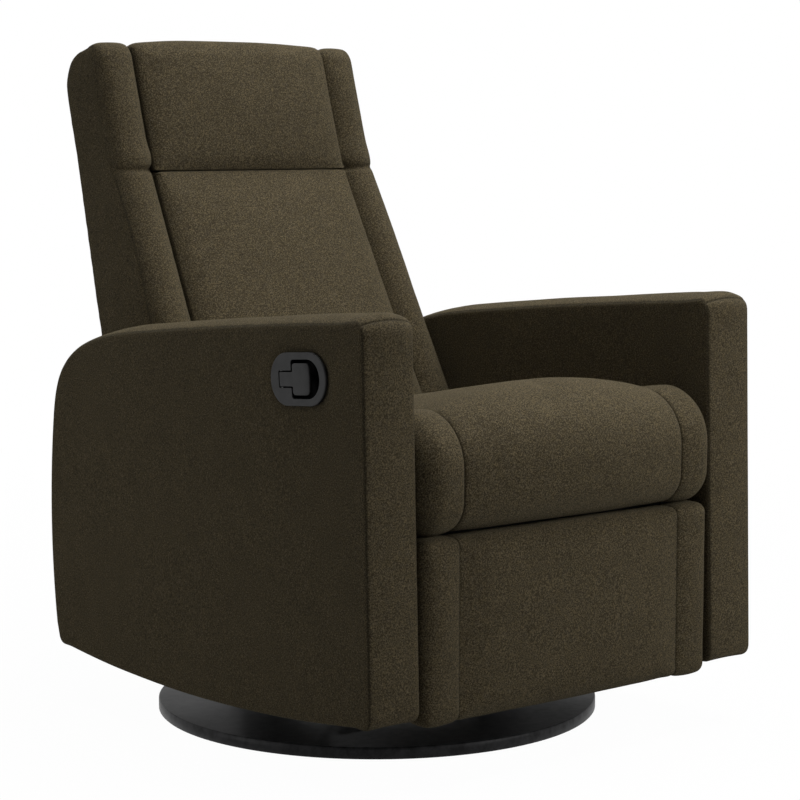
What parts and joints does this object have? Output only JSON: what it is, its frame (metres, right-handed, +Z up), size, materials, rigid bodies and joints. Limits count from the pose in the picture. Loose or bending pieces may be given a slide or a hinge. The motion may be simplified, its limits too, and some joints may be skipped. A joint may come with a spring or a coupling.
{
  "type": "swivel glider recliner",
  "caption": "Upholstered recliner on a round disc base that swivels, glides, reclines and folds out a padded footrest by a pull lever.",
  "frame": {"origin": "centre of the disc's underside, on the floor", "axes": "+Z up; the sitter faces -Y; +X is the sitter's left; the release handle is on the -X arm"},
  "size_m": [0.7642, 0.9785, 1.0695],
  "materials": {
    "upholstery": "olive brown heathered wool-look weave, matt",
    "plywood": "raw plywood and softwood",
    "hardboard": "raw hardboard",
    "webbing": "woven elastic webbing",
    "zinc_steel": "zinc plated",
    "dark_steel": "black powder coat",
    "black_disc": "satin black lacquer on board",
    "handle_plastic": "fine moulded texture, matt black"
  },
  "bodies": {
    "base": {"base_disc": "black_disc", "swivel_lower_plate": "zinc_steel", "swivel_balls": "zinc_steel", "king_pin": "zinc_steel", "plate_screws": "zinc_steel"},
    "carrier": {"swivel_upper_plate": "zinc_steel", "turning_plate": "dark_steel", "turning_plate_bolts": "zinc_steel", "glider_bracket_left": "dark_steel", "glider_bracket_right": "dark_steel", "bracket_bolts": "zinc_steel", "upper_pins": "zinc_steel"},
    "front_link": {"front_links": "dark_steel"},
    "rear_link": {"rear_links": "dark_steel"},
    "chair": {"lower_pins": "zinc_steel", "glide_rail_left": "dark_steel", "glide_rail_right": "dark_steel", "rail_hangers": "dark_steel", "cross_tube_front": "dark_steel", "cross_tube_rear": "dark_steel", "arm_panel_left": "plywood", "arm_panel_right": "plywood", "arm_rails_left": "plywood", "arm_rails_right": "plywood", "arm_skin_left": "hardboard", "arm_skin_right": "hardboard", "arm_cover_left": "upholstery", "arm_cover_right": "upholstery", "arm_bolts": "zinc_steel", "seat_side_rails": "plywood", "seat_front_rail": "plywood", "seat_rear_rail": "plywood", "seat_webbing": "webbing", "seat_cushion": "upholstery", "rear_panel": "upholstery", "mechanism_plates": "dark_steel", "recline_pins": "zinc_steel", "lever_bezel": "handle_plastic", "lever_pin": "zinc_steel"},
    "lever": {"lever_paddle": "handle_plastic"},
    "back": {"back_posts": "plywood", "back_rails": "plywood", "back_brackets": "dark_steel", "back_webbing": "webbing", "lumbar_cushion": "upholstery", "headrest_cushion": "upholstery", "wing_left": "upholstery", "wing_right": "upholstery", "back_side_left": "upholstery", "back_side_right": "upholstery", "outside_back": "upholstery"},
    "footrest_arm": {"footrest_arms": "dark_steel", "footrest_drive_tube": "dark_steel", "footrest_rivets": "zinc_steel"},
    "footrest_link": {"footrest_links": "dark_steel"},
    "footrest": {"pad_ears": "dark_steel", "pad_rivets": "zinc_steel", "pad_board": "plywood", "footrest_pad": "upholstery"}
  },
  "joints": [
    {"name": "swivel", "type": "hinge", "parent": "base", "child": "carrier", "pos_m": [0, 0, 0.0183], "axis": [0, 0, 1], "continuous": true},
    {"name": "glide", "type": "hinge", "parent": "carrier", "child": "front_link", "pos_m": [0, -0.125, 0.205], "axis": [1, 0, 0], "range_deg": [-20, 20]},
    {"name": "glide_level", "type": "hinge", "parent": "front_link", "child": "chair", "pos_m": [0, -0.125, 0.085], "axis": [1, 0, 0], "range_deg": [-20.05, 20.05]},
    {"name": "glide_rear", "type": "hinge", "parent": "carrier", "child": "rear_link", "pos_m": [0, 0.125, 0.205], "axis": [1, 0, 0], "range_deg": [-20.05, 20.05]},
    {"name": "recline", "type": "hinge", "parent": "chair", "child": "back", "pos_m": [0, 0.12, 0.35], "axis": [-1, 0, 0], "range_deg": [0, 35]},
    {"name": "footrest_fold", "type": "hinge", "parent": "chair", "child": "footrest_arm", "pos_m": [0, -0.296, 0.24], "axis": [-1, 0, 0], "range_deg": [0, 84.9]},
    {"name": "footrest_middle", "type": "hinge", "parent": "footrest_arm", "child": "footrest_link", "pos_m": [0, -0.292, 0.108], "axis": [-1, 0, 0], "range_deg": [-115.97, 0]},
    {"name": "footrest_tip", "type": "hinge", "parent": "footrest_link", "child": "footrest", "pos_m": [0, -0.385, 0.285], "axis": [-1, 0, 0], "range_deg": [0, 121.11]},
    {"name": "lever_pull", "type": "hinge", "parent": "chair", "child": "lever", "pos_m": [-0.37975, -0.26213, 0.5732], "axis": [0, -0.0785, -0.9969], "range_deg": [0, 30], "stiffness_Nm_per_rad": 0.25}
  ],
  "couplings": [
    {"joint": "glide_level", "follows": "glide", "ratio": -1},
    {"joint": "glide_rear", "follows": "glide", "ratio": 1},
    {"joint": "footrest_middle", "follows": "footrest_fold", "ratio": -1.3654},
    {"joint": "footrest_tip", "follows": "footrest_fold", "ratio": 1.4259}
  ]
}
